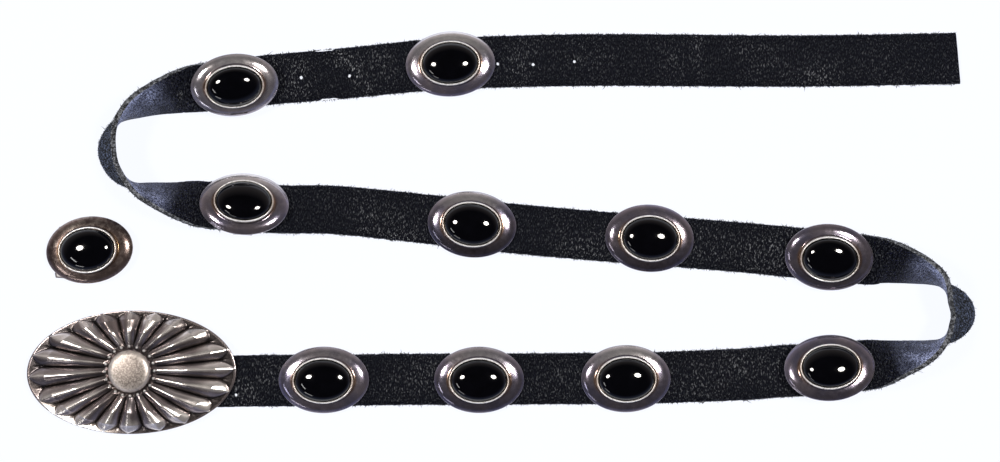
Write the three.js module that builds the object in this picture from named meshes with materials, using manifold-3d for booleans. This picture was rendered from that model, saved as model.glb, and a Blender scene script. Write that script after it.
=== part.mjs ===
// Concho belt laid flat in an S: leather strap, fluted buckle, ten conchos on the strap and one taken off.
// Millimetres, +Z up, +X along the straight runs, +Y towards the free end of the strap.
import * as THREE from 'three';
import { mergeVertices } from 'three/addons/utils/BufferGeometryUtils.js';
import Module from 'manifold-3d';

const wasm = await Module();
wasm.setup();

// Overall sizes
const layLength = 411.2;
const layDepth = 174.2;
const strapWidth = 22.2;
const strapThickness = 2.4;
const plateLength = 38.6;
const plateOverhang = 3.0;
const bezelLength = 26.0;
const bezelWidth = 19.5;
const buckleLength = 90.0;
const buckleDepth = 53.0;

// Metal and fits
const sheetThickness = 0.9;
const loopThickness = 1.0;
const loopWidth = 9.0;
const clearance = 0.3;
const holeDiameter = 1.5;

// The strap's way from its free end to the buckle. Along and across are shares of the laid length and depth
// from their middle. The roll, in degrees, lifts the right-hand edge, or the left-hand one where negative.
const routeColumns = ['along', 'across', 'roll', 'width'];
const routeRows = [
  [0.4812, 0.4283, 0, 0.991],
  [0.3162, 0.4219, 0, 0.997],
  [0.1127, 0.4245, 0, 1.004],
  [0.0158, 0.4209, 0, 1.000],
  [-0.0737, 0.4111, 0, 0.990],
  [-0.1685, 0.3900, 2, 0.977],
  [-0.2265, 0.3769, 9, 0.963],
  [-0.2742, 0.3630, 16, 0.966],
  [-0.3086, 0.3513, 26, 0.963],
  [-0.3351, 0.3386, 47, 0.979],
  [-0.3579, 0.3212, 64, 0.998],
  [-0.3790, 0.2978, 80, 1.000],
  [-0.3993, 0.2597, 105, 1.000],
  [-0.4079, 0.2062, 118, 1.000],
  [-0.4028, 0.1594, 114, 1.000],
  [-0.3905, 0.1268, 103, 1.000],
  [-0.3690, 0.1015, 77, 1.000],
  [-0.3457, 0.0842, 59, 0.999],
  [-0.3204, 0.0712, 37, 0.991],
  [-0.3030, 0.0639, 26, 0.981],
  [-0.2697, 0.0599, 19, 0.974],
  [-0.2264, 0.0536, 13, 0.950],
  [-0.1781, 0.0529, 6, 0.940],
  [-0.1056, 0.0366, 0, 0.951],
  [0.0422, -0.0003, 0, 0.963],
  [0.2539, -0.0407, -3, 0.969],
  [0.3003, -0.0514, -9, 0.984],
  [0.3479, -0.0632, -13, 0.990],
  [0.3860, -0.0723, -20, 0.992],
  [0.4040, -0.0768, -38, 0.992],
  [0.4291, -0.0931, -58, 0.999],
  [0.4508, -0.1165, -79, 1.000],
  [0.4712, -0.1528, -115, 1.000],
  [0.4811, -0.2046, -128, 1.000],
  [0.4713, -0.2453, -118, 1.000],
  [0.4518, -0.2784, -89, 1.000],
  [0.4341, -0.2972, -71, 1.000],
  [0.4061, -0.3161, -49, 0.998],
  [0.3798, -0.3291, -21, 0.996],
  [0.3479, -0.3386, -13, 1.001],
  [0.3003, -0.3458, -9, 1.006],
  [0.2530, -0.3558, -3, 0.999],
  [0.1328, -0.3648, 0, 0.993],
  [-0.0632, -0.3676, 0, 0.993],
  [-0.2740, -0.3719, 0, 0.998],
  [-0.3267, -0.3732, 0, 0.999],
];
const route = routeRows.map((row) => Object.fromEntries(routeColumns.map((name, i) => [name, row[i]])));

// Where the conchos sit on the strap and the holes pierce it, as shares of the strap's way.
const conchoPlaces = [0.1992, 0.2828, 0.4040, 0.4926, 0.5626, 0.6319, 0.7503, 0.8291, 0.8856, 0.9467];
const buckleLoopPlace = 0.9940;
const holeColumns = ['place', 'side'];
const holeRows = [
  [0.1503, -0.03],
  [0.1665, -0.07],
  [0.1804, -0.04],
  [0.2388, -0.06],
  [0.2576, -0.01],
  [0.3038, 0.00],
  [0.9815, -0.27],
];
const holes = holeRows.map((row) => Object.fromEntries(holeColumns.map((name, i) => [name, row[i]])));

// The taken-off concho: its middle as shares of the lay and its turn in degrees. Its loop is bent towards
// one tip, by shares of the plate's length and the strap's width, with its legs at a share of the half bar.
const loose = { along: -0.4325, across: -0.0458, turn: 2 };
const looseBend = { along: -0.25, across: -0.05, turn: -6, legSpread: 0.7 };

const leather = new THREE.MeshStandardMaterial({ color: 0x17171a, roughness: 0.85, metalness: 0.0 });
const silver = new THREE.MeshStandardMaterial({ color: 0x8f8580, roughness: 0.38, metalness: 1.0 });
const onyx = new THREE.MeshStandardMaterial({ color: 0x040405, roughness: 0.06, metalness: 0.0 });

// Closed solids

function toSolid(geometry) {
  const bare = geometry.index ? geometry.clone() : geometry;
  bare.deleteAttribute('normal');
  bare.deleteAttribute('uv');
  const merged = mergeVertices(bare, 1e-4);
  const vertProperties = new Float32Array(merged.attributes.position.array);
  const triVerts = new Uint32Array(merged.index.array);
  return new wasm.Manifold(new wasm.Mesh({ numProp: 3, vertProperties, triVerts }));
}

function toGeometry(solid) {
  const mesh = solid.getMesh();
  const geometry = new THREE.BufferGeometry();
  geometry.setAttribute('position', new THREE.BufferAttribute(new Float32Array(mesh.vertProperties), 3));
  geometry.setIndex(new THREE.BufferAttribute(new Uint32Array(mesh.triVerts), 1));
  geometry.computeVertexNormals();
  return geometry;
}

// A solid from rings of equally many points, closed by a fan to a middle point at each end.
function ringSolid(first, rings, last) {
  const points = [first, ...rings.flat(), last];
  const count = rings[0].length;
  const faces = [];
  for (let i = 0; i < count; i += 1) {
    const next = (i + 1) % count;
    faces.push(0, 1 + next, 1 + i);
    for (let ring = 0; ring + 1 < rings.length; ring += 1) {
      const low = 1 + ring * count;
      const high = low + count;
      faces.push(low + i, low + next, high + next);
      faces.push(low + i, high + next, high + i);
    }
    const top = 1 + (rings.length - 1) * count;
    faces.push(points.length - 1, top + i, top + next);
  }
  const geometry = new THREE.BufferGeometry();
  geometry.setAttribute('position', new THREE.Float32BufferAttribute(points.flatMap((p) => p.toArray()), 3));
  geometry.setIndex(faces);
  return toSolid(geometry);
}

function boxSolid(from, to) {
  const size = to.clone().sub(from);
  const middle = from.clone().add(to).multiplyScalar(0.5);
  return toSolid(new THREE.BoxGeometry(size.x, size.y, size.z).translate(middle.x, middle.y, middle.z));
}

function oval(count, halfLength, halfWidth, height) {
  return Array.from({ length: count }, (unused, i) => {
    const turn = (i / count) * 2 * Math.PI;
    return new THREE.Vector3(halfLength * Math.cos(turn), halfWidth * Math.sin(turn), height);
  });
}

// The strap's way

const stations = route.map((row) => ({ ...row, x: row.along * layLength, y: row.across * layDepth }));
const knots = [0];
for (let i = 1; i < stations.length; i += 1) {
  const step = Math.hypot(stations[i].x - stations[i - 1].x, stations[i].y - stations[i - 1].y);
  knots.push(knots[i - 1] + step);
}
const wayLength = knots[knots.length - 1];

function slopeAt(i, key) {
  const before = Math.max(i - 1, 0);
  const after = Math.min(i + 1, stations.length - 1);
  return (stations[after][key] - stations[before][key]) / (knots[after] - knots[before]);
}

// A smooth curve through the stations, with its value and its slope at a distance along the way.
function readRoute(distance, key) {
  let i = 0;
  while (i < stations.length - 2 && knots[i + 1] < distance) i += 1;
  const span = knots[i + 1] - knots[i];
  const t = (distance - knots[i]) / span;
  const [a, b] = [stations[i][key], stations[i + 1][key]];
  const [slopeA, slopeB] = [slopeAt(i, key) * span, slopeAt(i + 1, key) * span];
  const value = (2 * t ** 3 - 3 * t ** 2 + 1) * a + (t ** 3 - 2 * t ** 2 + t) * slopeA
    + (3 * t ** 2 - 2 * t ** 3) * b + (t ** 3 - t ** 2) * slopeB;
  const slope = ((6 * t ** 2 - 6 * t) * a + (3 * t ** 2 - 4 * t + 1) * slopeA
    + (6 * t - 6 * t ** 2) * b + (3 * t ** 2 - 2 * t) * slopeB) / span;
  return { value, slope };
}

// How much of its full lift the strap has: all of it over a loop, none of it far from the loops.
const riseReach = 24;
const looped = [...conchoPlaces, buckleLoopPlace].map((place) => place * wayLength);
function liftShare(distance) {
  const nearest = Math.min(...looped.map((at) => Math.abs(at - distance)));
  return 1 - THREE.MathUtils.smoothstep(nearest, loopWidth, loopWidth + riseReach);
}

// The strap's section at a distance: its middle, its right-hand and upward directions and its half width.
function sectionAt(distance) {
  const x = readRoute(distance, 'x');
  const y = readRoute(distance, 'y');
  const roll = THREE.MathUtils.degToRad(readRoute(distance, 'roll').value);
  const twist = Math.abs(THREE.MathUtils.degToRad(readRoute(distance, 'roll').slope));
  const halfWidth = (strapWidth / 2) * readRoute(distance, 'width').value;
  const heading = new THREE.Vector3(x.slope, y.slope, 0).normalize();
  const right = new THREE.Vector3(heading.y, -heading.x, 0).multiplyScalar(Math.cos(roll));
  right.z = Math.sin(roll);
  const up = new THREE.Vector3().crossVectors(right, heading);
  const lean = Math.abs(Math.sin(roll));
  const flat = Math.abs(Math.cos(roll));
  const lift = (clearance + loopThickness) * (lean + flat) + (1 + flat) * twist * halfWidth * (loopWidth / 2);
  const height = halfWidth * lean + (strapThickness / 2) * flat + liftShare(distance) * lift;
  const middle = new THREE.Vector3(x.value, y.value, height);
  return { middle, right, up, halfWidth };
}

function sectionPoint(section, side, level) {
  return section.middle.clone()
    .addScaledVector(section.right, side * section.halfWidth)
    .addScaledVector(section.up, level * strapThickness / 2);
}

// Leather strap: a flat ribbon swept along the way, with its punched holes cut through

const longestStep = 12;
const fewestSteps = 3;
const endSkew = 0.8;
const cuts = [];
for (let i = 0; i + 1 < knots.length; i += 1) {
  const span = knots[i + 1] - knots[i];
  const steps = Math.max(fewestSteps, Math.ceil(span / longestStep));
  for (let j = 0; j < steps; j += 1) cuts.push(knots[i] + (span * j) / steps);
}
cuts.push(wayLength);
const corners = [[1, -1], [-1, -1], [-1, 1], [1, 1]];
const strapRings = cuts.map((distance) => {
  const section = sectionAt(distance);
  return corners.map(([side, level]) => sectionPoint(section, side, level));
});
const endDirection = strapRings[0][0].clone().sub(strapRings[1][0]).normalize();
strapRings[0].forEach((point, i) => point.addScaledVector(endDirection, -corners[i][0] * endSkew));
const endMiddle = (ring) => ring[0].clone().add(ring[2]).multiplyScalar(0.5);
let strap = ringSolid(endMiddle(strapRings[0]), strapRings, endMiddle(strapRings[strapRings.length - 1]));

const holeSides = 8;
for (const hole of holes) {
  const section = sectionAt(hole.place * wayLength);
  const drill = new THREE.CylinderGeometry(holeDiameter / 2, holeDiameter / 2, strapThickness * 2, holeSides);
  drill.applyQuaternion(new THREE.Quaternion().setFromUnitVectors(new THREE.Vector3(0, 1, 0), section.up));
  const at = sectionPoint(section, 2 * hole.side, 0);
  drill.translate(at.x, at.y, at.z);
  strap = strap.subtract(toSolid(drill));
}

// A frame on the strap: X along it, Z out of its grain side, the origin in the middle of its thickness.
function frameAt(distance) {
  const section = sectionAt(distance);
  const ahead = sectionAt(Math.min(distance + loopWidth / 2, wayLength)).middle;
  const behind = sectionAt(distance - loopWidth / 2).middle;
  const along = ahead.sub(behind).normalize();
  const left = section.right.clone().negate();
  left.addScaledVector(along, -left.dot(along)).normalize();
  const up = new THREE.Vector3().crossVectors(along, left);
  return new THREE.Matrix4().makeBasis(along, left, up).setPosition(section.middle);
}

// The box round the part of the strap inside a column, both in the frame's own coordinates.
function strapWithin(frame, column) {
  const { min, max } = strap.transform(frame.clone().invert().toArray()).intersect(column).boundingBox();
  return { low: min[2], high: max[2], half: Math.max(-min[1], max[1]) };
}

// The room that a loop leaves round the strap: its half width inside, and the height of its bar's upper face.
const around = strapWidth;
function loopRoom(frame) {
  const from = new THREE.Vector3(-loopWidth / 2, -around, -around);
  const { low, half } = strapWithin(frame, boxSolid(from, from.clone().negate()));
  return { half: half + clearance, floor: low - clearance };
}

// A flat strip under the strap with a leg at each side, up to the given heights inside the metal above it.
function loopSolid(halfBar, legMiddle, floor, legTop) {
  const halfLoop = loopWidth / 2;
  const halfLeg = loopThickness / 2;
  const bottom = floor - loopThickness;
  const barEnd = new THREE.Vector3(halfLoop, halfBar, floor);
  let loop = boxSolid(new THREE.Vector3(-halfLoop, -halfBar, bottom), barEnd);
  for (const side of [-1, 1]) {
    const middle = side * legMiddle;
    const from = new THREE.Vector3(-halfLoop, middle - halfLeg, bottom + loopThickness / 4);
    loop = loop.add(boxSolid(from, new THREE.Vector3(halfLoop, middle + halfLeg, legTop)));
  }
  return loop;
}

// Concho: an oval domed plate with a bezel wall round the stone's seat, and the loop soldered below it

const plateSides = 24;
const domeHeight = 2.6;
const rimHeight = 0.5;
const bezelHeight = 2.4;
const bezelWall = 0.5;
const shoulder = { out: 0.5, up: 0.66 };
const halfPlate = { x: plateLength / 2, y: strapWidth / 2 + plateOverhang };
const halfBezel = { x: bezelLength / 2, y: bezelWidth / 2 };

function plateSolid(rimLevel) {
  const seat = rimLevel + domeHeight;
  const bore = { x: halfBezel.x - bezelWall, y: halfBezel.y - bezelWall };
  const middleX = THREE.MathUtils.lerp(halfBezel.x, halfPlate.x, shoulder.out);
  const middleY = THREE.MathUtils.lerp(halfBezel.y, halfPlate.y, shoulder.out);
  const middleZ = rimLevel + THREE.MathUtils.lerp(rimHeight, domeHeight, shoulder.up);
  const rings = [
    oval(plateSides, halfBezel.x, halfBezel.y, seat - sheetThickness),
    oval(plateSides, halfPlate.x, halfPlate.y, rimLevel),
    oval(plateSides, halfPlate.x, halfPlate.y, rimLevel + rimHeight),
    oval(plateSides, middleX, middleY, middleZ),
    oval(plateSides, halfBezel.x, halfBezel.y, seat),
    oval(plateSides, halfBezel.x, halfBezel.y, seat + bezelHeight),
    oval(plateSides, bore.x, bore.y, seat + bezelHeight),
    oval(plateSides, bore.x, bore.y, seat),
  ];
  return ringSolid(new THREE.Vector3(0, 0, seat - sheetThickness), rings, new THREE.Vector3(0, 0, seat));
}

// The plate's hollow back over a point at the given distance from its long axis, above its rim.
function plateBackAt(acrossDistance) {
  const share = THREE.MathUtils.clamp((halfPlate.y - acrossDistance) / (halfPlate.y - halfBezel.y), 0, 1);
  return share * (domeHeight - sheetThickness);
}

// Stone: a high polished oval dome, standing inside the bezel with a clearance all round

const stoneSides = 24;
const stoneGirdle = 1.5;
const stoneDome = 3.9;
const stoneSteps = [[1.0, 0], [0.84, 0.55], [0.5, 0.87]];

function stoneSolid(rimLevel) {
  const half = { x: halfBezel.x - bezelWall - clearance, y: halfBezel.y - bezelWall - clearance };
  const base = rimLevel + domeHeight + clearance;
  const girdle = base + stoneGirdle;
  const rings = [oval(stoneSides, half.x, half.y, base)];
  for (const [share, up] of stoneSteps) {
    rings.push(oval(stoneSides, half.x * share, half.y * share, girdle + up * stoneDome));
  }
  return ringSolid(new THREE.Vector3(0, 0, base), rings, new THREE.Vector3(0, 0, girdle + stoneDome));
}

const plateColumn = ringSolid(
  new THREE.Vector3(0, 0, -around),
  [-around, around].map((height) => oval(plateSides, halfPlate.x, halfPlate.y, height)),
  new THREE.Vector3(0, 0, around),
);
const solids = [];

function place(name, solid, material, frame) {
  solids.push({ name, material, solid: solid.transform(frame.toArray()) });
}

conchoPlaces.forEach((share, index) => {
  const distance = share * wayLength;
  const frame = frameAt(distance);
  const { half, floor } = loopRoom(frame);
  const rimLevel = strapWithin(frame, plateColumn).high + clearance;
  const legMiddle = half + loopThickness / 2;
  const legTop = rimLevel + plateBackAt(legMiddle) + sheetThickness / 2;
  const loop = loopSolid(half + loopThickness, legMiddle, floor, legTop);
  const label = String(index + 1).padStart(2, '0');
  place(`concho_${label}`, plateSolid(rimLevel).add(loop), silver, frame);
  place(`stone_${label}`, stoneSolid(rimLevel), onyx, frame);
});

// Loose concho: the same piece with its loop bent aside, standing on the loop's bar

const looseDrop = strapThickness + 2 * clearance;
const looseFrame = new THREE.Matrix4()
  .makeRotationZ(THREE.MathUtils.degToRad(loose.turn))
  .setPosition(loose.along * layLength, loose.across * layDepth, loopThickness);
const looseHalfBar = strapWidth / 2;
const looseLeg = looseHalfBar * looseBend.legSpread;
const looseLoop = loopSolid(looseHalfBar, looseLeg, 0, looseDrop + plateBackAt(looseLeg) + sheetThickness / 2)
  .transform(new THREE.Matrix4().makeRotationZ(THREE.MathUtils.degToRad(looseBend.turn))
    .setPosition(looseBend.along * plateLength, looseBend.across * strapWidth, 0).toArray());
place('concho_11_loose', plateSolid(looseDrop).add(looseLoop), silver, looseFrame);
place('stone_11_loose', stoneSolid(looseDrop), onyx, looseFrame);

// Buckle: an oval plate with 20 raised petals round a boss, a ring of beads, and its hidden loop and hook

const bossDiameter = 18.8;
const bossHeight = 3.4;
const beadDiameter = 1.1;
const beadRing = bossDiameter / 2 + 1.3 * beadDiameter;
const buckleRim = 1.2;
const buckleSwell = 1.4;
const petalHeight = 2.6;
const buckleTurn = 1.1;

// The buckle's middle lies off the strap's end by these shares of its own length and depth.
const buckleOffset = { along: -0.264, across: 0.085 };
const buckleLoopAt = looped[looped.length - 1];
const strapEnd = sectionAt(wayLength).middle;
const buckleLevel = sectionAt(buckleLoopAt).middle.z + strapThickness / 2 + clearance;
const buckleX = strapEnd.x + buckleOffset.along * buckleLength;
const buckleY = strapEnd.y + buckleOffset.across * buckleDepth;
const buckleFrame = new THREE.Matrix4()
  .makeRotationZ(THREE.MathUtils.degToRad(buckleTurn))
  .setPosition(buckleX, buckleY, buckleLevel);

// Each petal's middle line runs from an equal turn at the beads to its own turn on the rim, in degrees.
const petalEnds = [0, 21, 41.5, 59.7, 74.8];
const beadStep = 90 / petalEnds.length;
const petalTurns = [0, 1, 2, 3].flatMap((quarter) => petalEnds.map((end, i) => {
  const mirrored = quarter % 2 === 1 && i > 0;
  const rim = mirrored ? 90 - petalEnds[petalEnds.length - i] : end;
  return { bead: quarter * 90 + i * beadStep, rim: quarter * 90 + rim };
}));
const petalLines = petalTurns.flatMap((petal, i) => {
  const next = petalTurns[(i + 1) % petalTurns.length];
  const wrap = i + 1 === petalTurns.length ? 360 : 0;
  const valley = { bead: (petal.bead + next.bead + wrap) / 2, rim: (petal.rim + next.rim + wrap) / 2 };
  return [{ ...petal, isRidge: true }, { ...valley, isRidge: false }];
});

// Petals from the rim inwards: how far out, and heights above the rim as shares of the swell and of a petal.
const petalColumns = ['out', 'swell', 'ridge', 'valley'];
const petalRows = [
  [1.00, 0, 0, 0],
  [0.97, 0, 0, 0],
  [0.84, 0, 0.85, 0],
  [0.50, 0.79, 1, -0.12],
  [0.02, 0.86, 0.27, 0],
];

// Boss from its foot upwards: how far out and how high, as shares of its radius and height.
const bossColumns = ['out', 'up'];
const bossRows = [
  [1.00, 0],
  [1.00, 0.5],
  [0.84, 0.9],
];

function buckleRing(out, ridgeHeight, valleyHeight) {
  return petalLines.map((line) => {
    const bead = THREE.MathUtils.degToRad(line.bead);
    const rim = THREE.MathUtils.degToRad(line.rim);
    const innerRadius = beadRing + beadDiameter / 2;
    const inner = new THREE.Vector2(Math.cos(bead), Math.sin(bead)).multiplyScalar(innerRadius);
    const outer = new THREE.Vector2(Math.cos(rim) * buckleLength, Math.sin(rim) * buckleDepth);
    const at = inner.lerp(outer.multiplyScalar(0.5), out);
    return new THREE.Vector3(at.x, at.y, line.isRidge ? ridgeHeight : valleyHeight);
  });
}

function bossRing(radius, height) {
  return petalLines.map((line) => {
    const turn = THREE.MathUtils.degToRad(line.bead);
    return new THREE.Vector3(radius * Math.cos(turn), radius * Math.sin(turn), height);
  });
}

const hollowOut = 0.25;
const petalFoot = buckleRim + buckleSwell;
const buckleRings = [
  buckleRing(hollowOut, buckleSwell, buckleSwell),
  buckleRing(1, 0, 0),
];
for (const row of petalRows) {
  const step = Object.fromEntries(petalColumns.map((name, i) => [name, row[i]]));
  const level = buckleRim + step.swell * buckleSwell;
  buckleRings.push(buckleRing(step.out, level + step.ridge * petalHeight, level + step.valley * petalHeight));
}
for (const row of bossRows) {
  const step = Object.fromEntries(bossColumns.map((name, i) => [name, row[i]]));
  buckleRings.push(bossRing(step.out * bossDiameter / 2, petalFoot + step.up * bossHeight));
}
const buckleBack = new THREE.Vector3(0, 0, buckleSwell);
let buckle = ringSolid(buckleBack, buckleRings, new THREE.Vector3(0, 0, petalFoot + bossHeight));
for (const petal of petalTurns) {
  const turn = THREE.MathUtils.degToRad(petal.bead);
  const bead = new THREE.SphereGeometry(beadDiameter / 2, 5, 3);
  bead.translate(beadRing * Math.cos(turn), beadRing * Math.sin(turn), petalFoot);
  buckle = buckle.add(toSolid(bead));
}

// The hook for the holes of the free end, below the far side of the buckle and just above the table
const hook = { root: -0.26, tip: -0.36, width: 4.0, thickness: 1.4, above: 0.2 };
const hookRoot = hook.root * buckleLength;
const hookTip = hook.tip * buckleLength;
const hookBottom = hook.above - buckleLevel;
const hookFoot = boxSolid(
  new THREE.Vector3(hookTip, -hook.width / 2, hookBottom),
  new THREE.Vector3(hookRoot, hook.width / 2, hookBottom + hook.thickness),
);
const hookStem = boxSolid(
  new THREE.Vector3(hookRoot - hook.thickness, -hook.width / 2, hookBottom + hook.thickness / 2),
  new THREE.Vector3(hookRoot, hook.width / 2, buckleSwell + buckleRim / 2),
);
buckle = buckle.add(hookFoot).add(hookStem).transform(buckleFrame.toArray());

const buckleLoopFrame = frameAt(buckleLoopAt);
const buckleRoom = loopRoom(buckleLoopFrame);
const buckleLoop = loopSolid(
  buckleRoom.half + loopThickness,
  buckleRoom.half + loopThickness / 2,
  buckleRoom.floor,
  strapThickness / 2 + clearance + 0.7 * buckleRim,
).transform(buckleLoopFrame.toArray());
buckle = buckle.add(buckleLoop);

solids.unshift({ name: 'buckle', material: silver, solid: buckle });
solids.unshift({ name: 'strap', material: leather, solid: strap });

// The whole lay stands with the middle of its footprint at the origin and its lowest point at height zero.
const bounds = new THREE.Box3();
const nodes = solids.map(({ name, material, solid }) => {
  const node = new THREE.Mesh(toGeometry(solid), material);
  node.name = name;
  bounds.expandByObject(node);
  return node;
});
const middle = bounds.getCenter(new THREE.Vector3());
const group = new THREE.Group();
group.name = 'concho_belt';
for (const node of nodes) {
  node.geometry.translate(-middle.x, -middle.y, -bounds.min.z);
  group.add(node);
}

export default group;
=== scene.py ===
import math

import bmesh
import bpy
import numpy as np
from mathutils import Matrix, Vector, noise


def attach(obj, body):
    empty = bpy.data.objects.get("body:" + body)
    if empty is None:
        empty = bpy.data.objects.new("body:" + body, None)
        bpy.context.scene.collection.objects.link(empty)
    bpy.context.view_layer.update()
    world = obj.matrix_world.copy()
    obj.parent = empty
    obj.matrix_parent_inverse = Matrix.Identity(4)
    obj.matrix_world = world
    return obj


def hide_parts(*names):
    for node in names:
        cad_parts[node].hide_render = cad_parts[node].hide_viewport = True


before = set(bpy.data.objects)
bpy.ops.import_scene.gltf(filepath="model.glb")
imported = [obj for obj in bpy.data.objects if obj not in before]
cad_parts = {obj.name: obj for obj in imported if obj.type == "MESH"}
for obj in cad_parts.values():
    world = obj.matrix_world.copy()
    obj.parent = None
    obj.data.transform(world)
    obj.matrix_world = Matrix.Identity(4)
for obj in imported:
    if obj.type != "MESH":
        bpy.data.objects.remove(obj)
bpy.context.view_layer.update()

# Camera
# It hangs straight over the middle of the lay, as it did over the table where the belt was laid out,
# close enough that the far edges of the lay lean a little away from it.
MM = 0.001
camera_height = 690 * MM
camera_middle = (-1.26 * MM, 0.38 * MM)
seen_length = 433.3 * MM
camera_data = bpy.data.cameras.new("camera")
camera_data.sensor_width = 36
camera_data.lens = camera_data.sensor_width * camera_height / seen_length
camera = bpy.data.objects.new("camera", camera_data)
camera.location = (*camera_middle, camera_height)
bpy.context.scene.collection.objects.link(camera)
bpy.context.scene.camera = camera

# Strap
# One long strip cut from a side of black cowhide, about 2.4 mm thick, grain side out. It lies flat in three
# runs and is stood on its edge in two bends, where its flesh side and its raw cut edge come into view.

# Rows along the strap from its free end: x and y of its middle in mm, the roll in degrees that lifts its
# right-hand edge (its left-hand one where negative), and its width in mm.
strap_rows = [
    (196.61, 74.99, 0, 22.0),
    (128.76, 73.88, 0, 22.1),
    (45.08, 74.33, 0, 22.3),
    (5.24, 73.70, 0, 22.2),
    (-31.56, 72.00, 0, 22.0),
    (-70.55, 68.32, 2, 21.7),
    (-94.40, 66.04, 9, 21.4),
    (-114.01, 63.62, 16, 21.4),
    (-128.15, 61.58, 26, 21.4),
    (-139.05, 59.37, 47, 21.7),
    (-148.43, 56.34, 64, 22.2),
    (-157.10, 52.26, 80, 22.2),
    (-165.45, 45.62, 105, 22.2),
    (-168.99, 36.30, 118, 22.2),
    (-166.89, 28.15, 114, 22.2),
    (-161.83, 22.47, 103, 22.2),
    (-152.99, 18.06, 77, 22.2),
    (-143.41, 15.05, 59, 22.2),
    (-133.01, 12.79, 37, 22.0),
    (-125.85, 11.51, 26, 21.8),
    (-112.16, 10.82, 19, 21.6),
    (-94.35, 9.72, 13, 21.1),
    (-74.49, 9.60, 6, 20.9),
    (-44.68, 6.76, 0, 21.1),
    (16.09, 0.33, 0, 21.4),
    (103.15, -6.71, -3, 21.5),
    (122.22, -8.57, -9, 21.8),
    (141.80, -10.63, -13, 22.0),
    (157.46, -12.21, -20, 22.0),
    (164.87, -13.00, -38, 22.0),
    (175.19, -15.84, -58, 22.2),
    (184.11, -19.91, -79, 22.2),
    (191.70, -27.20, -114, 22.2),
    (196.57, -35.26, -128, 22.2),
    (192.54, -42.35, -118, 22.2),
    (184.52, -48.12, -89, 22.2),
    (177.24, -51.39, -71, 22.2),
    (165.73, -54.68, -49, 22.2),
    (154.92, -56.95, -21, 22.1),
    (141.80, -58.60, -13, 22.2),
    (122.22, -59.86, -9, 22.3),
    (102.77, -61.60, -3, 22.2),
    (53.35, -63.17, 0, 22.0),
    (-27.25, -63.65, 0, 22.0),
    (-113.93, -64.40, 0, 22.2),
    (-135.60, -64.63, 0, 22.2),
]
strap_thickness = 2.4
loop_lift_places = [0.1992, 0.2828, 0.4040, 0.4926, 0.5626, 0.6319, 0.7503, 0.8291, 0.8856, 0.9467, 0.9940]
loop_width = 9.0
loop_lift = 1.3
lift_reach = 24.0
floor_gap = 0.10

knots = [0.0]
for before, after in zip(strap_rows, strap_rows[1:]):
    knots.append(knots[-1] + math.hypot(after[0] - before[0], after[1] - before[1]))
way_length = knots[-1]


def smoothstep(value, low, high):
    t = min(max((value - low) / (high - low), 0.0), 1.0)
    return t * t * (3 - 2 * t)


def row_slope(i, column):
    before, after = max(i - 1, 0), min(i + 1, len(strap_rows) - 1)
    return (strap_rows[after][column] - strap_rows[before][column]) / (knots[after] - knots[before])


def read_rows(distance, column):
    """The value and the slope of one column at a distance along the strap's way, in mm, on a smooth curve."""
    i = 0
    while i < len(strap_rows) - 2 and knots[i + 1] < distance:
        i += 1
    span = knots[i + 1] - knots[i]
    t = (distance - knots[i]) / span
    a, b = strap_rows[i][column], strap_rows[i + 1][column]
    slope_a, slope_b = row_slope(i, column) * span, row_slope(i + 1, column) * span
    value = ((2 * t**3 - 3 * t**2 + 1) * a + (t**3 - 2 * t**2 + t) * slope_a
             + (3 * t**2 - 2 * t**3) * b + (t**3 - t**2) * slope_b)
    slope = ((6 * t**2 - 6 * t) * a + (3 * t**2 - 4 * t + 1) * slope_a
             + (6 * t - 6 * t**2) * b + (3 * t**2 - 2 * t) * slope_b) / span
    return value, slope


def strap_section(distance):
    """The strap's middle, right-hand direction, grain-side direction and half width at a distance, in mm."""
    x, x_slope = read_rows(distance, 0)
    y, y_slope = read_rows(distance, 1)
    roll, roll_slope = read_rows(distance, 2)
    half = read_rows(distance, 3)[0] / 2
    roll, twist = math.radians(roll), abs(math.radians(roll_slope))
    heading = Vector((x_slope, y_slope, 0)).normalized()
    right = Vector((heading.y, -heading.x, 0)) * math.cos(roll)
    right.z = math.sin(roll)
    up = right.cross(heading)
    lean, flat = abs(math.sin(roll)), abs(math.cos(roll))
    nearest = min(abs(place * way_length - distance) for place in loop_lift_places)
    lift = loop_lift * (lean + flat) + (1 + flat) * twist * half * loop_width / 2
    lift *= 1 - smoothstep(nearest, loop_width, loop_width + lift_reach)
    height = floor_gap + half * lean + strap_thickness / 2 * flat + lift
    return Vector((x, y, height)), right, up, half


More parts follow.
